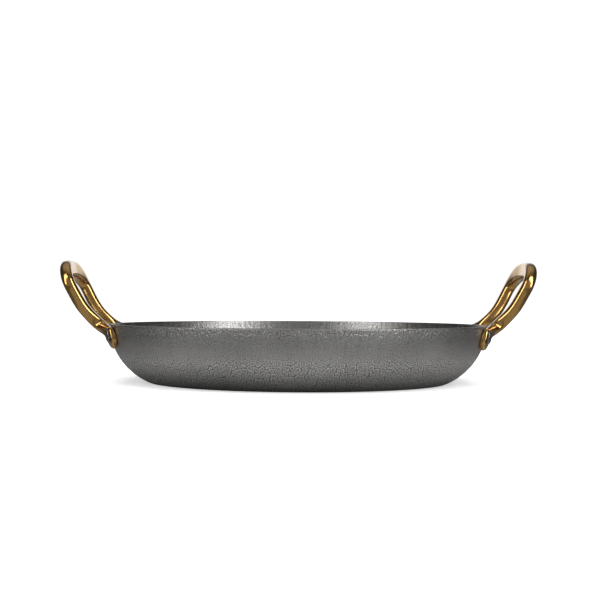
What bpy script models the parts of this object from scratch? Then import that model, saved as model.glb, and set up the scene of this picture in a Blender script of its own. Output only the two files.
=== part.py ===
"""Round two-handled serving pan, 24 cm across the rim.

The bowl is pressed from one steel sheet. A cast brass loop handle stands on each side of it. Each handle
spreads into two round ears that lie on the wall, and a steel rivet goes through each ear and the wall.

Frame: +Z up, origin at the centre of the flat underside, handles on the X axis. Units are metres.
"""

import math
from collections import namedtuple

import bmesh
import bpy
import numpy as np
from mathutils import Matrix, Vector

# Bowl
RIM_RADIUS = 0.120
PAN_HEIGHT = 0.0363
SHEET = 0.0018
WALL_ARC_RADIUS = 0.0409
WALL_ANGLE_AT_BASE = math.radians(22.8)
WALL_ANGLE_AT_RIM = math.radians(82.5)
BOWL_SEGMENTS = 96
WALL_STEPS = 9
RIM_STEPS = 4

# Ears and rivets
RIVET_TURN = math.radians(19.4)
RIVET_HEIGHT = 0.0305
EAR_RADIUS = 0.0070
EAR_THICKNESS = 0.0030
EAR_HEIGHT = RIVET_HEIGHT - 0.0013
EAR_TIP_HEIGHT = EAR_HEIGHT - 0.0016
EAR_END_WIDE = 0.0012
SHANK_RADIUS = 0.0025
OUTER_HEAD_RADIUS = 0.0041
OUTER_HEAD_HEIGHT = 0.0013
OUTER_HEAD_FLAT = 0.62
INNER_HEAD_RADIUS = 0.0048
INNER_HEAD_HEIGHT = 0.0017
INNER_HEAD_FLAT = 0.0
HEAD_EDGE = 0.25
RIVET_SEGMENTS = 24
HEAD_STEPS = 4

# Neck, where the handle's leg leaves the ear
NECK_TURN = RIVET_TURN - math.radians(2.8)
NECK_HEIGHT = RIVET_HEIGHT + 0.0018
NECK_THICKNESS = 0.0040
NECK_WIDE = 0.0044

# Handle bar
BAR_THICK = 0.00365
BAR_WIDE = 0.0041
BAR_CORNER = 0.0030
LARGEST_CORNER_SHARE = 0.85
TOP_OUT = 0.1465
TOP_HEIGHT = 0.0711
TOP_WIDE = 0.0055
BAR_CORNER_STEPS = 2
STEPS_PER_SPAN = 4

# An edge that bends by more than this stays sharp
SHARP_ANGLE = math.radians(35)

# Pieces that touch keep this gap
GAP = 0.0003

# Worked out from the dimensions above
ARC_TOP_HEIGHT = WALL_ARC_RADIUS * (math.cos(WALL_ANGLE_AT_BASE) - math.cos(WALL_ANGLE_AT_RIM))
ARC_TOP_RADIUS = RIM_RADIUS - (PAN_HEIGHT - ARC_TOP_HEIGHT) / math.tan(WALL_ANGLE_AT_RIM)
ARC_CENTRE_RADIUS = ARC_TOP_RADIUS - WALL_ARC_RADIUS * math.sin(WALL_ANGLE_AT_RIM)
ARC_CENTRE_HEIGHT = WALL_ARC_RADIUS * math.cos(WALL_ANGLE_AT_BASE)

# One station of a handle: where its bar's centre is, the bar's half sizes across the loop (thick) and
# along it (wide), and where its outer face looks: how far it turns from +X and how far it dips.
Station = namedtuple("Station", "out side up thick wide turn dip")


def clear_scene():
    for old in list(bpy.data.objects):
        bpy.data.objects.remove(old)


def make_material(name, colour, metallic, roughness):
    material = bpy.data.materials.new(name)
    material.use_nodes = True
    shader = material.node_tree.nodes["Principled BSDF"]
    shader.inputs["Base Color"].default_value = (*colour, 1.0)
    shader.inputs["Metallic"].default_value = metallic
    shader.inputs["Roughness"].default_value = roughness
    return material


def join_rings(bm, first, second):
    """Faces between two rings of vertices. A ring of one vertex is a point."""
    count = max(len(first), len(second))
    for i in range(count):
        j = (i + 1) % count
        near = [second[j % len(second)], second[i % len(second)]]
        corners = [first[i % len(first)], first[j % len(first)], *near]
        bm.faces.new(list(dict.fromkeys(corners)))


def finish_mesh(bm, name):
    bmesh.ops.recalc_face_normals(bm, faces=bm.faces)
    mesh = bpy.data.meshes.new(name)
    bm.to_mesh(mesh)
    bm.free()
    mesh.shade_smooth()
    mesh.set_sharp_from_angle(angle=SHARP_ANGLE)
    return mesh


def turned_mesh(name, profile, segments):
    """A solid turned round the Z axis. Its (radius, height) profile starts and ends on the axis."""
    bm = bmesh.new()
    rings = []
    for radius, height in profile:
        count = segments if radius > 0 else 1
        turns = [2 * math.pi * i / count for i in range(count)]
        rings.append([bm.verts.new((radius * math.cos(t), radius * math.sin(t), height)) for t in turns])
    for lower, upper in zip(rings, rings[1:]):
        join_rings(bm, lower, upper)
    return finish_mesh(bm, name)


def lofted_mesh(name, rings):
    """A solid through a row of rings, closed by a flat face at each end."""
    bm = bmesh.new()
    loops = [[bm.verts.new(point) for point in ring] for ring in rings]
    for near, far in zip(loops, loops[1:]):
        join_rings(bm, near, far)
    bm.faces.new(loops[0])
    bm.faces.new(loops[-1])
    return finish_mesh(bm, name)


def add_object(name, mesh, material=None, parent=None):
    piece = bpy.data.objects.new(name, mesh)
    bpy.context.scene.collection.objects.link(piece)
    piece.parent = parent
    if material:
        mesh.materials.append(material)
    return piece


def make_cutter(name, mesh):
    cutter = add_object(name, mesh)
    cutter.hide_render = True
    cutter.display_type = "WIRE"
    return cutter


def cut(piece, cutter):
    boolean = piece.modifiers.new("cut " + cutter.name, "BOOLEAN")
    boolean.operation = "DIFFERENCE"
    boolean.solver = "EXACT"
    boolean.object = cutter


def wall_profile(offset):
    """The wall's outer face from the base corner up to the rim, moved out by offset."""
    radius = WALL_ARC_RADIUS + offset
    floor_height = -offset
    start = math.acos((ARC_CENTRE_HEIGHT - floor_height) / radius)
    points = []
    for angle in np.linspace(start, WALL_ANGLE_AT_RIM, WALL_STEPS + 1):
        out = ARC_CENTRE_RADIUS + radius * math.sin(angle)
        points.append((out, ARC_CENTRE_HEIGHT - radius * math.cos(angle)))
    rise = PAN_HEIGHT - SHEET / 2 - ARC_TOP_HEIGHT
    last_radius, last_height = points[-1]
    points.append((last_radius + rise / math.tan(WALL_ANGLE_AT_RIM), last_height + rise))
    return points


def rim_profile(outer, inner):
    """The round edge of the sheet, from its outer corner over to its inner corner."""
    centre = (Vector(outer) + Vector(inner)) / 2
    arm = Vector(outer) - centre
    turns = [math.pi * i / RIM_STEPS for i in range(1, RIM_STEPS)]
    across = Vector((-arm.y, arm.x))
    return [tuple(centre + arm * math.cos(t) + across * math.sin(t)) for t in turns]


def bowl_profile():
    outside = wall_profile(0.0)
    inside = wall_profile(-SHEET)
    rim = rim_profile(outside[-1], inside[-1])
    return [(0.0, 0.0), *outside, *rim, *reversed(inside), (0.0, SHEET)]


def wall_clearance_profile():
    """A solid that fills the bowl and stands one gap proud of its outer face."""
    outside = wall_profile(GAP)
    top_radius = outside[-1][0]
    top_height = PAN_HEIGHT + GAP
    return [(0.0, -GAP), *outside, (top_radius, top_height), (0.0, top_height)]


def wall_frame(turn, height):
    """The point of the wall's outer face at this turn from +X and this height, and its outward normal."""
    slope = math.acos((ARC_CENTRE_HEIGHT - height) / WALL_ARC_RADIUS)
    radius = ARC_CENTRE_RADIUS + WALL_ARC_RADIUS * math.sin(slope)
    point = Vector((radius * math.cos(turn), radius * math.sin(turn), height))
    normal = facing(turn, math.pi / 2 - slope)
    return point, normal


def facing(turn, dip):
    """A unit vector turned from +X round the Z axis and dipped below the horizontal."""
    return Vector((math.cos(turn) * math.cos(dip), math.sin(turn) * math.cos(dip), -math.sin(dip)))


def wall_station(turn, height, thickness, wide):
    """A station of the ear, whose back lies one gap off the wall."""
    point, normal = wall_frame(turn, height)
    centre = point + normal * (GAP + thickness / 2)
    dip = math.asin(-normal.z)
    return Station(*centre, thickness / 2, wide, turn, dip)


def half_handle_stations():
    """From the tip of the ear at +Y, over its rivet and up the leg, to just short of the bar's middle."""
    tip_turn = RIVET_TURN + EAR_RADIUS / RIM_RADIUS
    degree = math.radians(1)
    return [
        wall_station(tip_turn, EAR_TIP_HEIGHT, EAR_THICKNESS, EAR_RADIUS),
        wall_station(RIVET_TURN, EAR_HEIGHT, EAR_THICKNESS, EAR_RADIUS),
        wall_station(NECK_TURN, NECK_HEIGHT, NECK_THICKNESS, NECK_WIDE),
        Station(0.1218, 0.0269, 0.0352, BAR_THICK, 0.0040, 2 * degree, 34 * degree),
        Station(0.1287, 0.0260, 0.0415, BAR_THICK, BAR_WIDE, 0, 39 * degree),
        Station(0.1342, 0.0277, 0.0484, BAR_THICK, BAR_WIDE, 0, 33 * degree),
        Station(0.1386, 0.0290, 0.0563, BAR_THICK, BAR_WIDE, 0, 23 * degree),
        Station(0.1412, 0.0293, 0.0612, BAR_THICK, BAR_WIDE, 0, 16 * degree),
        Station(0.1438, 0.0248, 0.0665, BAR_THICK, 0.0048, 0, 9 * degree),
        Station(0.1455, 0.0150, 0.0703, BAR_THICK, 0.0053, 0, 6 * degree),
    ]


def handle_stations():
    """All stations of the handle at +X, from its ear at +Y to its ear at -Y."""
    half = half_handle_stations()
    middle = half[-1]._replace(out=TOP_OUT, side=0.0, up=TOP_HEIGHT, wide=TOP_WIDE)
    mirrored = [station._replace(side=-station.side, turn=-station.turn) for station in reversed(half)]
    return [*half, middle, *mirrored]


def smooth_rows(rows, steps_per_span):
    """A natural cubic spline through the rows, and the distance along the bar of each row it gives."""
    places = rows[:, :3]
    knots = np.concatenate([[0.0], np.cumsum(np.linalg.norm(np.diff(places, axis=0), axis=1))])
    spans = np.diff(knots)
    slopes = np.diff(rows, axis=0) / spans[:, None]
    system = np.eye(len(rows))
    right = np.zeros_like(rows)
    for i in range(1, len(rows) - 1):
        system[i, i - 1:i + 2] = spans[i - 1], 2 * (spans[i - 1] + spans[i]), spans[i]
        right[i] = 6 * (slopes[i] - slopes[i - 1])
    bends = np.linalg.solve(system, right)
    distances = []
    smoothed = []
    for i, span in enumerate(spans):
        last = i == len(spans) - 1
        for part in np.linspace(0, 1, steps_per_span + 1)[:None if last else -1]:
            rest = 1 - part
            straight = rest * rows[i] + part * rows[i + 1]
            curved = ((rest ** 3 - rest) * bends[i] + (part ** 3 - part) * bends[i + 1]) * span ** 2 / 6
            smoothed.append(straight + curved)
            distances.append(knots[i] + part * span)
    return np.array(smoothed), np.array(distances)


def bar_section(thick, wide):
    """Points round a rounded rectangle with these half sizes."""
    corner = min(BAR_CORNER, LARGEST_CORNER_SHARE * min(thick, wide))
    points = []
    for quarter, (sign_x, sign_y) in enumerate([(1, 1), (-1, 1), (-1, -1), (1, -1)]):
        centre = Vector((sign_x * (thick - corner), sign_y * (wide - corner)))
        for i in range(BAR_CORNER_STEPS + 1):
            turn = (quarter + i / BAR_CORNER_STEPS) * math.pi / 2
            points.append(centre + Vector((math.cos(turn), math.sin(turn))) * corner)
    return points


def handle_rings():
    rows = np.array(handle_stations())
    smoothed, distances = smooth_rows(rows, STEPS_PER_SPAN)
    tangents = np.gradient(smoothed[:, :3], distances, axis=0)
    length = distances[-1]
    rings = []
    for row, distance, tangent in zip(smoothed, distances, tangents):
        station = Station(*row)
        from_end = min(distance, length - distance)
        wide = station.wide
        if from_end < EAR_RADIUS:
            wide = max(EAR_RADIUS * math.sqrt(1 - (1 - from_end / EAR_RADIUS) ** 2), EAR_END_WIDE)
        along = Vector(tangent).normalized()
        outward = facing(station.turn, station.dip)
        outward = (outward - along * outward.dot(along)).normalized()
        across = along.cross(outward)
        centre = Vector(row[:3])
        section = bar_section(station.thick, wide)
        rings.append([centre + outward * p.x + across * p.y for p in section])
    return rings


def head_profile(base, sign, radius, height, flat):
    """The head of a rivet from its middle to its rim: flat, then falling in a quarter of an ellipse to
    the low edge that is left at its rim."""
    inner = flat * radius
    points = [(0.0, base + sign * height)]
    for i in range(HEAD_STEPS + 1):
        turn = i / HEAD_STEPS * math.pi / 2
        away = inner + (radius - inner) * math.sin(turn)
        if away > 0:
            rise = height * (HEAD_EDGE + (1 - HEAD_EDGE) * math.cos(turn))
            points.append((away, base + sign * rise))
    return points


def rivet_profile():
    """Along the rivet's own axis, with zero on the wall's outer face and the outer head at the + end."""
    outer_seat = 2 * GAP + EAR_THICKNESS
    inner_seat = -SHEET - GAP
    wall_sag = INNER_HEAD_RADIUS ** 2 / (2 * (WALL_ARC_RADIUS - SHEET))
    inner_base = inner_seat - wall_sag
    outer_head = head_profile(outer_seat, 1, OUTER_HEAD_RADIUS, OUTER_HEAD_HEIGHT, OUTER_HEAD_FLAT)
    inner_head = head_profile(inner_base, -1, INNER_HEAD_RADIUS, INNER_HEAD_HEIGHT, INNER_HEAD_FLAT)
    outer = [*outer_head, (OUTER_HEAD_RADIUS, outer_seat), (SHANK_RADIUS, outer_seat)]
    inner = [*inner_head, (INNER_HEAD_RADIUS, inner_base), (SHANK_RADIUS, inner_seat)]
    return [*outer, *reversed(inner)]


def hole_profile():
    """A rivet's hole, with the flat seat that its outer head has in the ear."""
    reach = 2 * (EAR_THICKNESS + SHEET)
    seat = GAP + EAR_THICKNESS
    hole_radius = SHANK_RADIUS + GAP
    seat_radius = OUTER_HEAD_RADIUS + GAP
    above = [(0.0, reach), (seat_radius, reach), (seat_radius, seat)]
    below = [(hole_radius, seat), (hole_radius, -reach), (0.0, -reach)]
    return above + below


def rivet_places():
    """Where each rivet goes: its name's ending, and its matrix with local Z along the wall's normal."""
    places = {}
    for side, base_turn in (("right", 0.0), ("left", math.pi)):
        for turn in (RIVET_TURN, -RIVET_TURN):
            point, normal = wall_frame(base_turn + turn, RIVET_HEIGHT)
            end = "back" if point.y > 0 else "front"
            rotation = normal.to_track_quat("Z", "Y").to_matrix().to_4x4()
            places[f"{side}_{end}"] = Matrix.Translation(point) @ rotation
    return places


def build_handle(side, turn, material, pan, clearance):
    """The loop handle of one side, trimmed to stand one gap off the wall."""
    name = side + "_handle"
    handle = add_object(name, lofted_mesh(name, handle_rings()), material, pan)
    handle.rotation_euler.z = turn
    cut(handle, clearance)
    return handle


def build():
    clear_scene()
    steel = make_material("dark_steel", (0.13, 0.13, 0.125), 0.9, 0.42)
    brass = make_material("cast_brass", (0.62, 0.42, 0.16), 1.0, 0.22)
    rivet_steel = make_material("rivet_steel", (0.30, 0.29, 0.28), 1.0, 0.30)

    pan = add_object("pan", None)
    shell = add_object("pan_shell", turned_mesh("pan_shell", bowl_profile(), BOWL_SEGMENTS), steel, pan)
    clearance_mesh = turned_mesh("wall_clearance", wall_clearance_profile(), BOWL_SEGMENTS)
    clearance = make_cutter("wall_clearance", clearance_mesh)
    handles = {
        "right": build_handle("right", 0.0, brass, pan, clearance),
        "left": build_handle("left", math.pi, brass, pan, clearance),
    }

    for place, matrix in rivet_places().items():
        rivet_mesh = turned_mesh("rivet_" + place, rivet_profile(), RIVET_SEGMENTS)
        rivet = add_object("rivet_" + place, rivet_mesh, rivet_steel, pan)
        rivet.matrix_world = matrix
        hole = make_cutter("hole_" + place, turned_mesh("hole_" + place, hole_profile(), RIVET_SEGMENTS))
        hole.matrix_world = matrix
        cut(shell, hole)
        cut(handles[place.split("_")[0]], hole)


build()
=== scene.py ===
"""Looks of the round two-handled serving pan: embossed dark steel, cast brass handles and steel rivets.

Every length is in metres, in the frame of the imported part: +Z up, handles on the X axis. The sizes of the
bowl, handles and rivets repeat the CAD source, and each fine piece stands for one CAD node.
"""

import math
from collections import namedtuple

import bmesh
import bpy
import numpy as np
from mathutils import Matrix, Vector


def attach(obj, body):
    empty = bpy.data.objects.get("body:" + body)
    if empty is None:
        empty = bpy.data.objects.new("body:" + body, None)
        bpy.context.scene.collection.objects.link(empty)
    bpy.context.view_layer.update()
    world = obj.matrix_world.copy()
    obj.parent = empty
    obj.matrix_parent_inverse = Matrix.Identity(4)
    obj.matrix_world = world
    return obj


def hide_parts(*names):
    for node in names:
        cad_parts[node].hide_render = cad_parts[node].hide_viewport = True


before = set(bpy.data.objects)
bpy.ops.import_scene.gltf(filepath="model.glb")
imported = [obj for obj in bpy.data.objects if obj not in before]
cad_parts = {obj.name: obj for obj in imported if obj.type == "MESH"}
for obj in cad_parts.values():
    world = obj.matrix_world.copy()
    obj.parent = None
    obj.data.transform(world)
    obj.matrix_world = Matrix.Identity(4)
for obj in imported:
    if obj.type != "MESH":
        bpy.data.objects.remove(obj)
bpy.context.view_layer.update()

# Bowl
RIM_RADIUS = 0.120
PAN_HEIGHT = 0.0363
SHEET = 0.0018
RIM_CORNER = 0.0004
WALL_ARC_RADIUS = 0.0409
WALL_ANGLE_AT_BASE = math.radians(22.8)
WALL_ANGLE_AT_RIM = math.radians(82.5)
ARC_TOP_HEIGHT = WALL_ARC_RADIUS * (math.cos(WALL_ANGLE_AT_BASE) - math.cos(WALL_ANGLE_AT_RIM))
ARC_TOP_RADIUS = RIM_RADIUS - (PAN_HEIGHT - ARC_TOP_HEIGHT) / math.tan(WALL_ANGLE_AT_RIM)
ARC_CENTRE_RADIUS = ARC_TOP_RADIUS - WALL_ARC_RADIUS * math.sin(WALL_ANGLE_AT_RIM)
ARC_CENTRE_HEIGHT = WALL_ARC_RADIUS * math.cos(WALL_ANGLE_AT_BASE)
# Where the wall's faces end and the rounded edge of the rim begins
FACE_TOP = PAN_HEIGHT - SHEET / 2

# Ears and rivets
RIVET_TURN = math.radians(19.4)
RIVET_HEIGHT = 0.0305
EAR_RADIUS = 0.0070
EAR_THICKNESS = 0.0030
EAR_HEIGHT = RIVET_HEIGHT - 0.0013
EAR_TIP_HEIGHT = EAR_HEIGHT - 0.0016
EAR_END_WIDE = 0.0012
SHANK_RADIUS = 0.0025
OUTER_HEAD_RADIUS = 0.0041
OUTER_HEAD_HEIGHT = 0.0013
OUTER_HEAD_FLAT = 0.62
INNER_HEAD_RADIUS = 0.0048
INNER_HEAD_HEIGHT = 0.0017
INNER_HEAD_FLAT = 0.0
HEAD_EDGE = 0.25

# Neck, where the handle's leg leaves the ear
NECK_TURN = RIVET_TURN - math.radians(2.8)
NECK_HEIGHT = RIVET_HEIGHT + 0.0018
NECK_THICKNESS = 0.0040
NECK_WIDE = 0.0044

# Handle bar
BAR_THICK = 0.00365
BAR_WIDE = 0.0041
BAR_CORNER = 0.0030
LARGEST_CORNER_SHARE = 0.85
TOP_OUT = 0.1465
TOP_HEIGHT = 0.0711
TOP_WIDE = 0.0055

# Pieces that touch keep this gap
GAP = 0.0003

# Fineness of the meshes. Inside COARSE_RADIUS a ring has half the vertices, and half again each time
# that the radius halves.
BOWL_SEGMENTS = 720
FEWEST_BOWL_SEGMENTS = BOWL_SEGMENTS / 16
COARSE_RADIUS = 0.66 * RIM_RADIUS
BOWL_STEP = 0.00115
UNDERSIDE_STEP = 4 * BOWL_STEP
CLEARANCE_SEGMENTS = 360
CLEARANCE_ARC_STEPS = 60
RIM_CORNER_STEPS = 4
STEPS_PER_SPAN = 14
BAR_CORNER_STEPS = 8
RIVET_SEGMENTS = 72
HEAD_STEPS = 12
SHARP_ANGLE = math.radians(40)

# Embossing: how wide a pad is, how far its top stands above the groove round it, and the share of a pad's
# width over which its side rises. The last three say how uneven the pads are, and how far and how quickly
# the grooves between them wander.
PAD_SIZE = 0.0033
EMBOSS_DEPTH = 0.00012
PAD_SLOPE = 0.17
PAD_RANDOMNESS = 0.9
PAD_WANDER = 0.9
PAD_WANDER_SCALE = 0.8

# How strong the embossing is at some heights of the outer and of the inner face
OUTSIDE_HEIGHTS = (0.0, 0.001, 0.015, 0.021, 0.030, 0.033, FACE_TOP, PAN_HEIGHT)
OUTSIDE_EMBOSS = (0.0, 0.8, 1.0, 0.22, 0.26, 0.5, 0.5, 0.0)
INSIDE_HEIGHTS = (SHEET, 0.006, 0.020, FACE_TOP, PAN_HEIGHT)
INSIDE_EMBOSS = (0.8, 0.6, 0.25, 0.15, 0.0)

# Attributes of the shell's mesh: a point's place on the flat sheet, how strong the embossing is there, and
# 1 on the inside face
BLANK = "blank"
EMBOSSED = "embossed"
INSIDE = "inside"

# In the materials below colours are linear, sizes are those of the blotches of a noise, and each span is
# the range of a noise over which its effect grows. Most of a noise lies in NOISE_SPAN.
NOISE_SPAN = (0.3, 0.7)

# Steel. The spans of the lighter pad edge (partly wear, partly painted highlight) and of the painted shade in
# the groove are distances from the groove, in pad widths.
STEEL_DARK = (0.285, 0.282, 0.276, 1)
STEEL_LIGHT = (0.335, 0.331, 0.323, 1)
STEEL_SPECK = (0.40, 0.396, 0.388, 1)
STEEL_LINE = (0.20, 0.198, 0.193, 1)
# Lighter pad edge: partly wear, partly a painted highlight where the bevel would catch the light
STEEL_WEAR_AND_SHEEN_EDGE = (0.74, 0.73, 0.71, 1)
# Painted shade in the grooves between the pads
STEEL_GROOVE_SHADE = (0.08, 0.079, 0.077, 1)
BLOTCH_SIZE = 0.030
SPECK_SIZE = 0.0011
SPECK_SPAN = (0.45, 0.8)
SPECK_SHARE = 0.5
GRAIN_SIZE = 0.0014
GRAIN_DEPTH = 0.00010
LINE_SPACING = 0.0016
LINE_LENGTH = 0.018
LINE_SPAN = (0.5, 0.8)
LINE_SHARE = 0.45
LINE_DEPTH = 0.00012
WEAR_AND_SHEEN_RISE_SPAN = (0.08, 0.15)
WEAR_AND_SHEEN_FALL_SPAN = (0.29, 0.18)
WEAR_AND_SHEEN_SHARE = 0.85
GROOVE_SHADE_SPAN = (0.11, 0.03)
GROOVE_SHADE_SHARE = 0.35
OUTSIDE_ROUGHNESS = 0.48
INSIDE_ROUGHNESS = 0.36
ROUGHNESS_SPREAD = 0.04
OUTSIDE_GRAIN_SHARE = 0.2
RELIEF_DEPTH = 2 * EMBOSS_DEPTH

# Brass
BRASS_DARK = (0.60, 0.345, 0.100, 1)
BRASS_LIGHT = (0.67, 0.39, 0.125, 1)
BRASS_TARNISH = (0.45, 0.24, 0.06, 1)
BRASS_CLOUD_SIZE = 0.010
TARNISH_SIZE = 0.0016
TARNISH_SPAN = (0.52, 0.78)
TARNISH_SHARE = 0.35
BRASS_ROUGHNESS = (0.15, 0.21)
RIPPLE_SIZE = 0.008
RIPPLE_DEPTH = 0.00002
LACQUER_SHARE = 0.5
LACQUER_ROUGHNESS = 0.12

# Rivet steel
RIVET_DARK = (0.17, 0.16, 0.155, 1)
RIVET_LIGHT = (0.26, 0.25, 0.245, 1)
RIVET_SPOT_SIZE = 0.0012
RIVET_SPOT_SPAN = (0.35, 0.65)
RIVET_ROUGHNESS = (0.24, 0.38)
RIVET_GRAIN_DEPTH = 0.00003

# Floor, a little below the pan so that their faces do not coincide. Each span is a distance from the middle
# of the pan over which the card changes.
FLOOR_RADIUS = 12.0
FLOOR_SEGMENTS = 64
FLOOR_DROP = 0.0001
CARD_WHITE = (0.86, 0.86, 0.86, 1)
CARD_GLOW_SPAN = (0.22, 0.9)
CARD_GLOW = (0.5, 1.0)
# What metal mirrors of the floor is a painted grey, set by the distance from the pan
MIRRORED_SPAN = (0.118, 0.160)
MIRRORED_GREY = (0.50, 0.22)
# Painted shadow in the mirrored floor under the pan's edge
PAINTED_SHADOW_UNDER_PAN_SPAN = (0.090, 0.114)
PAINTED_SHADOW_UNDER_PAN_SHARE = 0.45
MIRRORED_BESIDE_SPAN = (0.170, 0.210)
MIRRORED_BESIDE_SHARE = 0.35

# Studio: each softbox has a place, a size and how bright its face is. All look at LAMP_TARGET.
LAMP_TARGET = (0.0, 0.0, 0.04)
FRONT_SOFTBOX_SIZE = (0.44, 1.65)
LEFT_SOFTBOX = ((-0.97, -0.79, 0.80), FRONT_SOFTBOX_SIZE, 4.2)
RIGHT_SOFTBOX = ((0.94, -0.82, 0.80), FRONT_SOFTBOX_SIZE, 6.0)
TOP_SOFTBOX = ((0.0, -0.10, 1.30), (1.3, 1.1), 4.2)

# World: how bright it is in each direction. The front and back spans are parts of a unit vector along Y, and
# the top span is its part along Z plus TOP_LEAN times its part along Y.
FRONT_SPAN = (-0.35, -0.9)
FRONT_GLOW = 0.22
BACK_SPAN = (0.86, 0.975)
BACK_GLOW = 0.97
TOP_SPAN = (0.85, 1.15)
TOP_LEAN = 0.5
TOP_GLOW = 0.4
SIDE_GLOW = 0.05
BACKGROUND_GLOW = 1.05

# Camera
EYE = Vector((-0.0105, -0.784, 0.0526))
CAMERA_ROLL = math.radians(0.3)
SENSOR_WIDTH = 36.0
FRAME_PIXELS = 600
FOCAL_PIXELS = 1223
CENTRE_RIGHT_PIXELS = 2.2
CENTRE_UP_PIXELS = -1.0

# One station of a handle: where its bar's centre is, the bar's half sizes across the loop (thick) and
# along it (wide), and where its outer face looks: how far it turns from +X and how far it dips.
Station = namedtuple("Station", "out side up thick wide turn dip")


# Nodes -----------------------------------------------------------------------------------------------


def add_node(tree, kind, inputs=None, **settings):
    """Adds a node with these settings. Each of its inputs, by name or number, is set or linked."""
    node = tree.nodes.new(kind)
    for name, value in settings.items():
        setattr(node, name, value)
    for name, value in (inputs or {}).items():
        if isinstance(value, bpy.types.NodeSocket):
            tree.links.new(value, node.inputs[name])
        else:
            node.inputs[name].default_value = value
    return node


def add_math(tree, operation, first, second=0.0):
    return add_node(tree, "ShaderNodeMath", {0: first, 1: second}, operation=operation).outputs[0]


def add_range(tree, value, low, high, to_low=0.0, to_high=1.0):
    """The value taken smoothly from low..high to to_low..to_high, and kept inside it."""
    inputs = {"Value": value, "From Min": low, "From Max": high, "To Min": to_low, "To Max": to_high}
    return add_node(tree, "ShaderNodeMapRange", inputs, interpolation_type="SMOOTHSTEP").outputs["Result"]


def add_colours(tree, share, first, second):
    """The first colour where share is 0, and the second where it is 1."""
    inputs = {0: share, 6: first, 7: second}
    return add_node(tree, "ShaderNodeMix", inputs, data_type="RGBA").outputs[2]


def add_noise(tree, place, size, detail=2.0, roughness=0.5):
    """Noise from about 0.25 to 0.75, whose blotches are about this size in metres."""
    inputs = {"Vector": place, "Scale": 1 / size, "Detail": detail, "Roughness": roughness}
    return add_node(tree, "ShaderNodeTexNoise", inputs).outputs[0]


def scale_vector(tree, vector, factor):
    return add_node(tree, "ShaderNodeVectorMath", {0: vector, "Scale": factor}, operation="SCALE").outputs[0]


def add_emboss(tree, blank):
    """How far a place on the flat sheet is from the nearest groove between two pads, in pad widths.
    The mesh and the material both use it, so their grooves are in the same places."""
    cells = scale_vector(tree, blank, 1 / PAD_SIZE)
    noise = add_node(
        tree, "ShaderNodeTexNoise", {"Vector": cells, "Scale": PAD_WANDER_SCALE, "Detail": 1.0}
    )
    wander = add_node(
        tree, "ShaderNodeVectorMath", {0: noise.outputs[1], 1: (0.5, 0.5, 0.5)}, operation="SUBTRACT"
    )
    shift = scale_vector(tree, wander.outputs[0], PAD_WANDER)
    bent = add_node(tree, "ShaderNodeVectorMath", {0: cells, 1: shift}, operation="ADD").outputs[0]
    inputs = {"Vector": bent, "Scale": 1.0, "Randomness": PAD_RANDOMNESS}
    edges = add_node(
        tree, "ShaderNodeTexVoronoi", inputs, voronoi_dimensions="2D", feature="DISTANCE_TO_EDGE"
    )
    return edges.outputs["Distance"]


def add_pads(tree, from_groove):
    """The height of the embossing: 1 on a pad's top, 0 in the groove round it."""
    return add_range(tree, from_groove, 0.0, PAD_SLOPE)


# Materials -------------------------------------------------------------------------------------------


def new_metal(name):
    material = bpy.data.materials.new(name)
    material.use_nodes = True
    shader = material.node_tree.nodes["Principled BSDF"]
    shader.inputs["Metallic"].default_value = 1.0
    return material, material.node_tree, shader


def set_input(tree, shader, name, value):
    tree.links.new(value, shader.inputs[name])


def add_bump(tree, height, depth, before=None):
    inputs = {"Height": height, "Distance": depth, "Strength": 1.0}
    if before:
        inputs["Normal"] = before
    return add_node(tree, "ShaderNodeBump", inputs).outputs[0]


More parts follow.
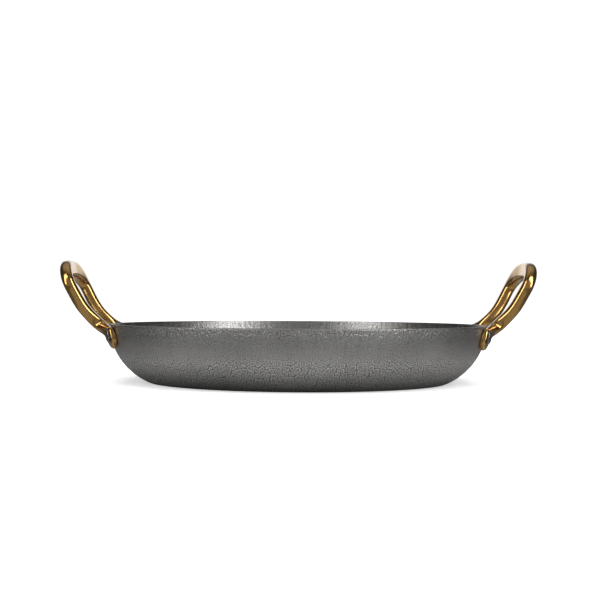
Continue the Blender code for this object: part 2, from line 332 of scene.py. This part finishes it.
def steel_material():
    """Pads with lighter edges (partly wear, partly painted highlight), painted shade in the grooves between
    them, and faint lines up the wall.
    """
    material, tree, shader = new_metal("embossed_steel")
    blank = add_node(tree, "ShaderNodeAttribute", attribute_name=BLANK).outputs["Vector"]
    embossed = add_node(tree, "ShaderNodeAttribute", attribute_name=EMBOSSED).outputs["Fac"]
    inside = add_node(tree, "ShaderNodeAttribute", attribute_name=INSIDE).outputs["Fac"]
    place = add_node(tree, "ShaderNodeTexCoord").outputs["Object"]
    from_groove = add_emboss(tree, blank)
    pads = add_pads(tree, from_groove)
    blotches = add_noise(tree, place, BLOTCH_SIZE)
    specks = add_noise(tree, place, SPECK_SIZE, detail=3.0)
    lines = add_wall_lines(tree, blank)

    plain = add_colours(tree, add_range(tree, blotches, *NOISE_SPAN), STEEL_DARK, STEEL_LIGHT)
    speck_share = add_range(tree, specks, *SPECK_SPAN, 0.0, SPECK_SHARE)
    speckled = add_colours(tree, speck_share, plain, STEEL_SPECK)
    line_share = add_range(tree, lines, *LINE_SPAN, 0.0, LINE_SHARE)
    lined = add_colours(tree, line_share, speckled, STEEL_LINE)
    # Painted highlight, with some wear, on a ring along each pad's edge; stronger where the embossing is
    # stronger
    edge_rise = add_range(tree, from_groove, *WEAR_AND_SHEEN_RISE_SPAN)
    edge_fall = add_range(tree, from_groove, *WEAR_AND_SHEEN_FALL_SPAN)
    edge = add_math(tree, "MULTIPLY", edge_rise, edge_fall)
    wear_and_sheen_edge = add_math(tree, "MULTIPLY", add_math(tree, "MULTIPLY", edge, embossed), WEAR_AND_SHEEN_SHARE)
    edged = add_colours(tree, wear_and_sheen_edge, lined, STEEL_WEAR_AND_SHEEN_EDGE)
    # Painted shade: the grooves between the pads are darkened where shade would fall
    near_groove_shade = add_range(tree, from_groove, *GROOVE_SHADE_SPAN, 0.0, GROOVE_SHADE_SHARE)
    groove = add_math(tree, "MULTIPLY", near_groove_shade, embossed)
    set_input(tree, shader, "Base Color", add_colours(tree, groove, edged, STEEL_GROOVE_SHADE))

    rough = add_range(tree, inside, 0.0, 1.0, OUTSIDE_ROUGHNESS, INSIDE_ROUGHNESS)
    spread = add_range(tree, specks, *NOISE_SPAN, -ROUGHNESS_SPREAD, ROUGHNESS_SPREAD)
    set_input(tree, shader, "Roughness", add_math(tree, "ADD", rough, spread))

    relief = add_bump(tree, add_math(tree, "MULTIPLY", pads, embossed), RELIEF_DEPTH)
    inner_share = add_range(tree, inside, 0.0, 1.0, OUTSIDE_GRAIN_SHARE, 1.0)
    wall_relief = add_bump(tree, add_math(tree, "MULTIPLY", lines, inner_share), LINE_DEPTH, relief)
    grain = add_math(tree, "MULTIPLY", add_noise(tree, place, GRAIN_SIZE, detail=4.0), inner_share)
    set_input(tree, shader, "Normal", add_bump(tree, grain, GRAIN_DEPTH, wall_relief))
    return material


def add_wall_lines(tree, blank):
    """Faint lines that run from the floor up to the rim, where pressing stretched the sheet."""
    away = add_node(tree, "ShaderNodeVectorMath", {0: blank}, operation="LENGTH").outputs["Value"]
    around = add_node(tree, "ShaderNodeVectorMath", {0: blank}, operation="NORMALIZE").outputs[0]
    scaled = scale_vector(tree, around, RIM_RADIUS / LINE_SPACING)
    parts = add_node(tree, "ShaderNodeSeparateXYZ", {0: scaled})
    inputs = {0: parts.outputs[0], 1: parts.outputs[1], 2: add_math(tree, "DIVIDE", away, LINE_LENGTH)}
    place = add_node(tree, "ShaderNodeCombineXYZ", inputs).outputs[0]
    return add_noise(tree, place, 1.0)


def brass_material():
    """Polished brass with a slight tarnish under a thin clear lacquer."""
    material, tree, shader = new_metal("polished_brass")
    place = add_node(tree, "ShaderNodeTexCoord").outputs["Object"]
    cloud = add_noise(tree, place, BRASS_CLOUD_SIZE)
    spots = add_noise(tree, place, TARNISH_SIZE, detail=4.0, roughness=0.6)
    body = add_colours(tree, add_range(tree, cloud, *NOISE_SPAN), BRASS_DARK, BRASS_LIGHT)
    tarnish = add_range(tree, spots, *TARNISH_SPAN, 0.0, TARNISH_SHARE)
    ripple = add_noise(tree, place, RIPPLE_SIZE, detail=0.0)
    set_input(tree, shader, "Base Color", add_colours(tree, tarnish, body, BRASS_TARNISH))
    set_input(tree, shader, "Roughness", add_range(tree, spots, *NOISE_SPAN, *BRASS_ROUGHNESS))
    set_input(tree, shader, "Normal", add_bump(tree, ripple, RIPPLE_DEPTH))
    shader.inputs["Coat Weight"].default_value = LACQUER_SHARE
    shader.inputs["Coat Roughness"].default_value = LACQUER_ROUGHNESS
    return material


def rivet_material():
    material, tree, shader = new_metal("rivet_steel_worn")
    place = add_node(tree, "ShaderNodeTexCoord").outputs["Object"]
    spots = add_noise(tree, place, RIVET_SPOT_SIZE, detail=4.0, roughness=0.6)
    mottled = add_colours(tree, add_range(tree, spots, *RIVET_SPOT_SPAN), RIVET_DARK, RIVET_LIGHT)
    set_input(tree, shader, "Base Color", mottled)
    set_input(tree, shader, "Roughness", add_range(tree, spots, *NOISE_SPAN, *RIVET_ROUGHNESS))
    set_input(tree, shader, "Normal", add_bump(tree, spots, RIVET_GRAIN_DEPTH))
    return material


def floor_material():
    """White card. It glows more the further it is from the pan, so that it meets the white background
    without a line. Metal mirrors it as a painted grey instead: lighter just past the base, with a painted
    shadow under the pan's edge, darker further out, and darkest beyond the handles."""
    material = bpy.data.materials.new("white_card")
    material.use_nodes = True
    tree = material.node_tree
    tree.nodes.clear()
    place = add_node(tree, "ShaderNodeTexCoord").outputs["Object"]
    away = add_node(tree, "ShaderNodeVectorMath", {0: place}, operation="LENGTH").outputs["Value"]
    glow = add_range(tree, away, *CARD_GLOW_SPAN, *CARD_GLOW)
    card = add_node(tree, "ShaderNodeBsdfDiffuse", {"Color": CARD_WHITE})
    light = add_node(tree, "ShaderNodeEmission", {"Strength": glow})
    seen = add_node(tree, "ShaderNodeAddShader", {0: card.outputs[0], 1: light.outputs[0]})
    nearby = add_range(tree, away, *MIRRORED_SPAN, *MIRRORED_GREY)
    # Painted shadow under the pan's edge, only in what the metal mirrors
    under = add_range(tree, away, *PAINTED_SHADOW_UNDER_PAN_SPAN, PAINTED_SHADOW_UNDER_PAN_SHARE, 1.0)
    across = add_node(tree, "ShaderNodeSeparateXYZ", {0: place}).outputs["X"]
    sideways = add_math(tree, "ABSOLUTE", across)
    beside = add_range(tree, sideways, *MIRRORED_BESIDE_SPAN, 1.0, MIRRORED_BESIDE_SHARE)
    grey = add_math(tree, "MULTIPLY", add_math(tree, "MULTIPLY", nearby, under), beside)
    mirrored = add_node(tree, "ShaderNodeBsdfDiffuse", {"Color": grey})
    path = add_node(tree, "ShaderNodeLightPath")
    both = add_node(
        tree, "ShaderNodeMixShader",
        {0: path.outputs["Is Glossy Ray"], 1: seen.outputs[0], 2: mirrored.outputs[0]},
    )
    add_node(tree, "ShaderNodeOutputMaterial", {"Surface": both.outputs[0]})
    return material


# Meshes ----------------------------------------------------------------------------------------------


def join_rings(bm, first, second):
    """Faces between two rings of vertices. One ring may have half as many as the other, or be a point."""
    if len(first) < len(second):
        join_rings(bm, second, first)
        return
    count = len(first)
    step = count // len(second)
    for i in range(count):
        j = (i + 1) % count
        near = second[(i // step) % len(second)]
        far = second[(j // step) % len(second)]
        corners = [first[i], first[j], far, near]
        bm.faces.new(list(dict.fromkeys(corners)))


def finish_mesh(bm, name):
    bmesh.ops.recalc_face_normals(bm, faces=bm.faces)
    mesh = bpy.data.meshes.new(name)
    bm.to_mesh(mesh)
    bm.free()
    mesh.shade_smooth()
    mesh.set_sharp_from_angle(angle=SHARP_ANGLE)
    return mesh


def turned_mesh(name, profile, counts):
    """A solid turned round the Z axis. counts gives the number of vertices in each of its rings."""
    bm = bmesh.new()
    rings = []
    for (radius, height), count in zip(profile, counts):
        turns = [2 * math.pi * i / count for i in range(count)]
        rings.append([bm.verts.new((radius * math.cos(t), radius * math.sin(t), height)) for t in turns])
    for lower, upper in zip(rings, rings[1:]):
        join_rings(bm, lower, upper)
    return finish_mesh(bm, name)


def even_mesh(name, profile, segments):
    """A turned solid with the same number of vertices in each ring, and one where it meets the axis."""
    return turned_mesh(name, profile, [segments if radius > 0 else 1 for radius, _ in profile])


def lofted_mesh(name, rings):
    """A solid through a row of rings, closed by a flat face at each end."""
    bm = bmesh.new()
    loops = [[bm.verts.new(point) for point in ring] for ring in rings]
    for near, far in zip(loops, loops[1:]):
        join_rings(bm, near, far)
    bm.faces.new(loops[0])
    bm.faces.new(loops[-1])
    return finish_mesh(bm, name)


def add_object(name, mesh, matrix=None):
    piece = bpy.data.objects.new(name, mesh)
    bpy.context.scene.collection.objects.link(piece)
    if matrix:
        piece.matrix_world = matrix
    return piece


def cut(piece, cutter):
    boolean = piece.modifiers.new("cut " + cutter.name, "BOOLEAN")
    boolean.operation = "DIFFERENCE"
    boolean.solver = "EXACT"
    boolean.object = cutter


def bake_modifiers(piece):
    """Gives the piece the mesh that its modifiers make, and removes them."""
    bpy.context.view_layer.update()
    graph = bpy.context.evaluated_depsgraph_get()
    made = bpy.data.meshes.new_from_object(
        piece.evaluated_get(graph), preserve_all_data_layers=True, depsgraph=graph
    )
    made.name = piece.name
    piece.modifiers.clear()
    piece.data = made
    return piece


def stand_for(piece, node, material):
    """The piece replaces the CAD node, rides with the pan and takes the given material."""
    piece.data.materials.clear()
    piece.data.materials.append(material)
    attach(piece, "root")
    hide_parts(node)


# Bowl ------------------------------------------------------------------------------------------------


def wall_profile(offset, steps):
    """The wall's outer face from the base corner up to the rim, moved out by offset."""
    radius = WALL_ARC_RADIUS + offset
    start = math.acos((ARC_CENTRE_HEIGHT + offset) / radius)
    points = []
    for angle in np.linspace(start, WALL_ANGLE_AT_RIM, steps + 1):
        out = ARC_CENTRE_RADIUS + radius * math.sin(angle)
        points.append((out, ARC_CENTRE_HEIGHT - radius * math.cos(angle)))
    rise = FACE_TOP - ARC_TOP_HEIGHT
    last_out, last_height = points[-1]
    for share in np.linspace(0, 1, max(2, round(rise / BOWL_STEP)) + 1)[1:]:
        points.append((last_out + share * rise / math.tan(WALL_ANGLE_AT_RIM), last_height + share * rise))
    return points


def rim_profile(outer, inner):
    """The cut edge of the sheet, from its outer face over to its inner face, with rounded corners."""
    outer, inner = Vector(outer), Vector(inner)
    across = (inner - outer).normalized()
    up = Vector((across.y, -across.x))
    rise = SHEET / 2 - RIM_CORNER
    turns = [math.pi / 2 * i / RIM_CORNER_STEPS for i in range(RIM_CORNER_STEPS + 1)]
    corners = []
    for face, inward in ((outer, across), (inner, -across)):
        centre = face + inward * RIM_CORNER + up * rise
        corners.append(
            [centre - inward * RIM_CORNER * math.cos(t) + up * RIM_CORNER * math.sin(t) for t in turns]
        )
    outer_corner, inner_corner = corners
    return [tuple(point) for point in (*outer_corner, *reversed(inner_corner))]


def floor_profile(outer_radius, height, step):
    """From next to the middle out to just short of outer_radius."""
    count = round(outer_radius / step)
    return [(outer_radius * i / count, height) for i in range(1, count)]


def bowl_profile():
    """From the middle of the underside, up the outside and down the inside, to the middle of the floor."""
    arc_length = WALL_ARC_RADIUS * (WALL_ANGLE_AT_RIM - WALL_ANGLE_AT_BASE)
    steps = round(arc_length / BOWL_STEP)
    outside = wall_profile(0.0, steps)
    inside = wall_profile(-SHEET, steps)
    underside = floor_profile(outside[0][0], 0.0, UNDERSIDE_STEP)
    floor = floor_profile(inside[0][0], SHEET, BOWL_STEP)
    rim = rim_profile(outside[-1], inside[-1])
    return [(0.0, 0.0), *underside, *outside, *rim, *reversed(inside), *reversed(floor), (0.0, SHEET)]


def bowl_counts(profile):
    """Fewer vertices in the rings near the middle of the floor and of the underside."""
    counts = []
    for radius, _ in profile:
        count = BOWL_SEGMENTS
        limit = COARSE_RADIUS
        while radius < limit and count > FEWEST_BOWL_SEGMENTS:
            count //= 2
            limit /= 2
        counts.append(count if radius > 0 else 1)
    return counts


def blank_radii(profile):
    """How far each point of the profile was from the middle of the flat sheet that the bowl was pressed
    from. Pressing moves the metal but keeps its area."""
    top = max(range(len(profile)), key=lambda i: profile[i][1])
    squares = np.zeros(len(profile))
    for order in (range(1, top + 1), range(len(profile) - 2, top, -1)):
        for i in order:
            before = i - 1 if order.step > 0 else i + 1
            (radius, height), (last_radius, last_height) = profile[i], profile[before]
            length = math.hypot(radius - last_radius, height - last_height)
            squares[i] = squares[before] + (radius + last_radius) * length
    return np.sqrt(squares)


def shell_mesh():
    """The bowl without its holes. The embossing is strongest on the lower curve and on the floor, and
    weaker where pressing stretched the wall."""
    profile = bowl_profile()
    counts = bowl_counts(profile)
    mesh = turned_mesh("pan_shell_embossed", profile, counts)
    radii, heights = np.array(profile).T
    stretches = np.divide(blank_radii(profile), radii, out=np.ones_like(radii), where=radii > 0)
    top = int(np.argmax(heights))
    inside = np.arange(len(profile)) > top
    inside_share = np.interp(heights, INSIDE_HEIGHTS, INSIDE_EMBOSS)
    outside_share = np.interp(heights, OUTSIDE_HEIGHTS, OUTSIDE_EMBOSS)
    share = np.where(inside, inside_share, outside_share)

    places = np.empty(3 * len(mesh.vertices))
    mesh.vertices.foreach_get("co", places)
    flat = places.reshape(-1, 3) * np.repeat(stretches, counts)[:, None] * (1, 1, 0)
    mesh.attributes.new(BLANK, "FLOAT_VECTOR", "POINT").data.foreach_set("vector", flat.ravel())
    for name, values in ((EMBOSSED, share), (INSIDE, inside.astype(float))):
        mesh.attributes.new(name, "FLOAT", "POINT").data.foreach_set("value", np.repeat(values, counts))
    return mesh


def emboss_nodes():
    """Geometry nodes that push the sheet's pads out and its grooves in."""
    tree = bpy.data.node_groups.new("emboss", "GeometryNodeTree")
    tree.interface.new_socket("Geometry", in_out="INPUT", socket_type="NodeSocketGeometry")
    tree.interface.new_socket("Geometry", in_out="OUTPUT", socket_type="NodeSocketGeometry")
    blank = add_node(
        tree, "GeometryNodeInputNamedAttribute", {"Name": BLANK}, data_type="FLOAT_VECTOR"
    ).outputs["Attribute"]
    share = add_node(
        tree, "GeometryNodeInputNamedAttribute", {"Name": EMBOSSED}, data_type="FLOAT"
    ).outputs["Attribute"]
    middle = add_math(tree, "SUBTRACT", add_pads(tree, add_emboss(tree, blank)), 0.5)
    height = add_math(tree, "MULTIPLY", add_math(tree, "MULTIPLY", middle, share), EMBOSS_DEPTH)
    normal = add_node(tree, "GeometryNodeInputNormal").outputs[0]
    shift = scale_vector(tree, normal, height)
    source = add_node(tree, "NodeGroupInput").outputs[0]
    moved = add_node(tree, "GeometryNodeSetPosition", {"Geometry": source, "Offset": shift})
    add_node(tree, "NodeGroupOutput", {0: moved.outputs[0]})
    return tree


def make_shell(holes):
    shell = add_object("pan_shell_embossed", shell_mesh())
    shell.modifiers.new("emboss", "NODES").node_group = emboss_nodes()
    for hole in holes:
        cut(shell, hole)
    return bake_modifiers(shell)


# Handles and rivets ----------------------------------------------------------------------------------


def facing(turn, dip):
    """A unit vector turned from +X round the Z axis and dipped below the horizontal."""
    return Vector((math.cos(turn) * math.cos(dip), math.sin(turn) * math.cos(dip), -math.sin(dip)))


def wall_frame(turn, height):
    """The point of the wall's outer face at this turn from +X and this height, and its outward normal."""
    slope = math.acos((ARC_CENTRE_HEIGHT - height) / WALL_ARC_RADIUS)
    radius = ARC_CENTRE_RADIUS + WALL_ARC_RADIUS * math.sin(slope)
    point = Vector((radius * math.cos(turn), radius * math.sin(turn), height))
    return point, facing(turn, math.pi / 2 - slope)


def wall_station(turn, height, thickness, wide):
    """A station of the ear, whose back lies one gap off the wall."""
    point, normal = wall_frame(turn, height)
    centre = point + normal * (GAP + thickness / 2)
    return Station(*centre, thickness / 2, wide, turn, math.asin(-normal.z))


def half_handle_stations():
    """From the tip of the ear at +Y, over its rivet and up the leg, to just short of the bar's middle."""
    tip_turn = RIVET_TURN + EAR_RADIUS / RIM_RADIUS
    degree = math.radians(1)
    return [
        wall_station(tip_turn, EAR_TIP_HEIGHT, EAR_THICKNESS, EAR_RADIUS),
        wall_station(RIVET_TURN, EAR_HEIGHT, EAR_THICKNESS, EAR_RADIUS),
        wall_station(NECK_TURN, NECK_HEIGHT, NECK_THICKNESS, NECK_WIDE),
        Station(0.1218, 0.0269, 0.0352, BAR_THICK, 0.0040, 2 * degree, 34 * degree),
        Station(0.1287, 0.0260, 0.0415, BAR_THICK, BAR_WIDE, 0, 39 * degree),
        Station(0.1342, 0.0277, 0.0484, BAR_THICK, BAR_WIDE, 0, 33 * degree),
        Station(0.1386, 0.0290, 0.0563, BAR_THICK, BAR_WIDE, 0, 23 * degree),
        Station(0.1412, 0.0293, 0.0612, BAR_THICK, BAR_WIDE, 0, 16 * degree),
        Station(0.1438, 0.0248, 0.0665, BAR_THICK, 0.0048, 0, 9 * degree),
        Station(0.1455, 0.0150, 0.0703, BAR_THICK, 0.0053, 0, 6 * degree),
    ]


def handle_stations():
    """All stations of the handle at +X, from its ear at +Y to its ear at -Y."""
    half = half_handle_stations()
    middle = half[-1]._replace(out=TOP_OUT, side=0.0, up=TOP_HEIGHT, wide=TOP_WIDE)
    mirrored = [station._replace(side=-station.side, turn=-station.turn) for station in reversed(half)]
    return [*half, middle, *mirrored]


def smooth_rows(rows, steps_per_span):
    """A natural cubic spline through the rows, and the distance along the bar of each row it gives."""
    places = rows[:, :3]
    knots = np.concatenate([[0.0], np.cumsum(np.linalg.norm(np.diff(places, axis=0), axis=1))])
    spans = np.diff(knots)
    slopes = np.diff(rows, axis=0) / spans[:, None]
    system = np.eye(len(rows))
    right = np.zeros_like(rows)
    for i in range(1, len(rows) - 1):
        system[i, i - 1:i + 2] = spans[i - 1], 2 * (spans[i - 1] + spans[i]), spans[i]
        right[i] = 6 * (slopes[i] - slopes[i - 1])
    bends = np.linalg.solve(system, right)
    distances = []
    smoothed = []
    for i, span in enumerate(spans):
        last = i == len(spans) - 1
        for part in np.linspace(0, 1, steps_per_span + 1)[:None if last else -1]:
            rest = 1 - part
            straight = rest * rows[i] + part * rows[i + 1]
            curved = ((rest ** 3 - rest) * bends[i] + (part ** 3 - part) * bends[i + 1]) * span ** 2 / 6
            smoothed.append(straight + curved)
            distances.append(knots[i] + part * span)
    return np.array(smoothed), np.array(distances)


def bar_section(thick, wide):
    """Points round a rounded rectangle with these half sizes."""
    corner = min(BAR_CORNER, LARGEST_CORNER_SHARE * min(thick, wide))
    points = []
    for quarter, (sign_x, sign_y) in enumerate([(1, 1), (-1, 1), (-1, -1), (1, -1)]):
        centre = Vector((sign_x * (thick - corner), sign_y * (wide - corner)))
        for i in range(BAR_CORNER_STEPS + 1):
            turn = (quarter + i / BAR_CORNER_STEPS) * math.pi / 2
            points.append(centre + Vector((math.cos(turn), math.sin(turn))) * corner)
    return points


def handle_rings():
    rows = np.array(handle_stations())
    smoothed, distances = smooth_rows(rows, STEPS_PER_SPAN)
    tangents = np.gradient(smoothed[:, :3], distances, axis=0)
    length = distances[-1]
    rings = []
    for row, distance, tangent in zip(smoothed, distances, tangents):
        station = Station(*row)
        from_end = min(distance, length - distance)
        wide = station.wide
        if from_end < EAR_RADIUS:
            wide = max(EAR_RADIUS * math.sqrt(1 - (1 - from_end / EAR_RADIUS) ** 2), EAR_END_WIDE)
        along = Vector(tangent).normalized()
        outward = facing(station.turn, station.dip)
        outward = (outward - along * outward.dot(along)).normalized()
        across = along.cross(outward)
        centre = Vector(row[:3])
        section = bar_section(station.thick, wide)
        rings.append([centre + outward * p.x + across * p.y for p in section])
    return rings


def head_profile(base, sign, radius, height, flat):
    """The head of a rivet from its middle to its rim: flat, then falling in a quarter of an ellipse to
    the low edge that is left at its rim."""
    inner = flat * radius
    points = [(0.0, base + sign * height)]
    for i in range(HEAD_STEPS + 1):
        turn = i / HEAD_STEPS * math.pi / 2
        away = inner + (radius - inner) * math.sin(turn)
        if away > 0:
            rise = height * (HEAD_EDGE + (1 - HEAD_EDGE) * math.cos(turn))
            points.append((away, base + sign * rise))
    return points


def rivet_profile():
    """Along the rivet's own axis, with zero on the wall's outer face and the outer head at the + end."""
    outer_seat = 2 * GAP + EAR_THICKNESS
    inner_seat = -SHEET - GAP
    wall_sag = INNER_HEAD_RADIUS ** 2 / (2 * (WALL_ARC_RADIUS - SHEET))
    inner_base = inner_seat - wall_sag
    outer_head = head_profile(outer_seat, 1, OUTER_HEAD_RADIUS, OUTER_HEAD_HEIGHT, OUTER_HEAD_FLAT)
    inner_head = head_profile(inner_base, -1, INNER_HEAD_RADIUS, INNER_HEAD_HEIGHT, INNER_HEAD_FLAT)
    outer = [*outer_head, (OUTER_HEAD_RADIUS, outer_seat), (SHANK_RADIUS, outer_seat)]
    inner = [*inner_head, (INNER_HEAD_RADIUS, inner_base), (SHANK_RADIUS, inner_seat)]
    return [*outer, *reversed(inner)]


def hole_profile():
    """A rivet's hole, with the flat seat that its outer head has in the ear."""
    reach = 2 * (EAR_THICKNESS + SHEET)
    seat = GAP + EAR_THICKNESS
    hole_radius = SHANK_RADIUS + GAP
    seat_radius = OUTER_HEAD_RADIUS + GAP
    above = [(0.0, reach), (seat_radius, reach), (seat_radius, seat)]
    below = [(hole_radius, seat), (hole_radius, -reach), (0.0, -reach)]
    return above + below


def wall_clearance_profile():
    """A solid that fills the bowl and stands one gap proud of its outer face."""
    outside = wall_profile(GAP, CLEARANCE_ARC_STEPS)
    top_radius = outside[-1][0]
    top_height = PAN_HEIGHT + GAP
    return [(0.0, -GAP), *outside, (top_radius, top_height), (0.0, top_height)]


def rivet_places():
    """Where each rivet goes: its name's ending, and its matrix with local Z along the wall's normal."""
    places = {}
    for side, base_turn in (("right", 0.0), ("left", math.pi)):
        for turn in (RIVET_TURN, -RIVET_TURN):
            point, normal = wall_frame(base_turn + turn, RIVET_HEIGHT)
            end = "back" if point.y > 0 else "front"
            rotation = normal.to_track_quat("Z", "Y").to_matrix().to_4x4()
            places[f"{side}_{end}"] = Matrix.Translation(point) @ rotation
    return places


def make_handle(side, matrix, cutters):
    handle = add_object(side + "_handle_cast", lofted_mesh(side + "_handle_cast", handle_rings()), matrix)
    for cutter in cutters:
        cut(handle, cutter)
    bake_modifiers(handle)
    handle.data.set_sharp_from_angle(angle=SHARP_ANGLE)
    return handle


def make_pan():
    steel, brass, rivet_steel = steel_material(), brass_material(), rivet_material()
    places = rivet_places()
    holes = {
        place: add_object("hole_" + place, even_mesh("hole_" + place, hole_profile(), RIVET_SEGMENTS), matrix)
        for place, matrix in places.items()
    }
    clearance = add_object(
        "clearance", even_mesh("clearance", wall_clearance_profile(), CLEARANCE_SEGMENTS)
    )

    stand_for(make_shell(holes.values()), "pan_shell", steel)
    for side, matrix in (("right", Matrix()), ("left", Matrix.Rotation(math.pi, 4, "Z"))):
        own_holes = [hole for place, hole in holes.items() if place.startswith(side)]
        handle = make_handle(side, matrix, [clearance, *own_holes])
        stand_for(handle, side + "_handle", brass)
    for place, matrix in places.items():
        name = f"rivet_{place}_forged"
        rivet = add_object(name, even_mesh(name, rivet_profile(), RIVET_SEGMENTS), matrix)
        stand_for(rivet, "rivet_" + place, rivet_steel)
    for cutter in (clearance, *holes.values()):
        bpy.data.objects.remove(cutter)


# Studio ----------------------------------------------------------------------------------------------


def make_floor():
    bm = bmesh.new()
    bmesh.ops.create_circle(bm, cap_ends=True, radius=FLOOR_RADIUS, segments=FLOOR_SEGMENTS)
    mesh = bpy.data.meshes.new("floor")
    bm.to_mesh(mesh)
    bm.free()
    mesh.materials.append(floor_material())
    floor = add_object("floor", mesh, Matrix.Translation((0, 0, -FLOOR_DROP)))


def add_softbox(name, place, size, radiance):
    """A flat lamp of this size whose face is this bright."""
    lamp = bpy.data.lights.new(name, "AREA")
    lamp.shape = "RECTANGLE"
    lamp.size, lamp.size_y = size
    lamp.energy = radiance * math.pi * size[0] * size[1]
    piece = bpy.data.objects.new(name, lamp)
    bpy.context.scene.collection.objects.link(piece)
    aim = (Vector(LAMP_TARGET) - Vector(place)).to_track_quat("-Z", "Y").to_matrix().to_4x4()
    piece.matrix_world = Matrix.Translation(place) @ aim
    return piece


def make_world():
    """White behind the pan and overhead, darker at the sides and in front. The camera sees plain white."""
    world = bpy.data.worlds.new("studio")
    world.use_nodes = True
    tree = world.node_tree
    tree.nodes.clear()
    direction = add_node(tree, "ShaderNodeTexCoord").outputs["Generated"]
    parts = add_node(tree, "ShaderNodeSeparateXYZ", {0: direction})
    front = add_range(tree, parts.outputs["Y"], *FRONT_SPAN, 0.0, FRONT_GLOW)
    back = add_range(tree, parts.outputs["Y"], *BACK_SPAN, 0.0, BACK_GLOW)
    lean = add_math(tree, "MULTIPLY", parts.outputs["Y"], TOP_LEAN)
    back_and_up = add_math(tree, "ADD", parts.outputs["Z"], lean)
    top = add_range(tree, back_and_up, *TOP_SPAN, 0.0, TOP_GLOW)
    front_and_back = add_math(tree, "ADD", front, back)
    top_and_sides = add_math(tree, "ADD", top, SIDE_GLOW)
    glow = add_math(tree, "ADD", front_and_back, top_and_sides)
    path = add_node(tree, "ShaderNodeLightPath")
    inputs = {0: path.outputs["Is Camera Ray"], 2: glow, 3: BACKGROUND_GLOW}
    strength = add_node(tree, "ShaderNodeMix", inputs)
    white = (1.0, 1.0, 1.0, 1.0)
    background = add_node(tree, "ShaderNodeBackground", {"Color": white, "Strength": strength.outputs[0]})
    add_node(tree, "ShaderNodeOutputWorld", {"Surface": background.outputs[0]})
    bpy.context.scene.world = world


def make_lights():
    """Two lamps at the front corners, and one overhead that the metal does not mirror."""
    add_softbox("softbox_left", *LEFT_SOFTBOX)
    add_softbox("softbox_right", *RIGHT_SOFTBOX)
    fill = add_softbox("softbox_top", *TOP_SOFTBOX)
    fill.visible_glossy = False


def make_camera():
    camera = bpy.data.cameras.new("camera")
    camera.sensor_width = SENSOR_WIDTH
    camera.lens = SENSOR_WIDTH * FOCAL_PIXELS / FRAME_PIXELS
    camera.shift_x = (CENTRE_RIGHT_PIXELS - FOCAL_PIXELS * EYE.x / -EYE.y) / FRAME_PIXELS
    camera.shift_y = CENTRE_UP_PIXELS / FRAME_PIXELS
    level = Matrix.Rotation(math.pi / 2, 4, "X") @ Matrix.Rotation(CAMERA_ROLL, 4, "Z")
    bpy.context.scene.camera = add_object("camera", camera, Matrix.Translation(EYE) @ level)


make_pan()
make_floor()
make_world()
make_lights()
make_camera()
bpy.context.scene.view_settings.view_transform = "Standard"
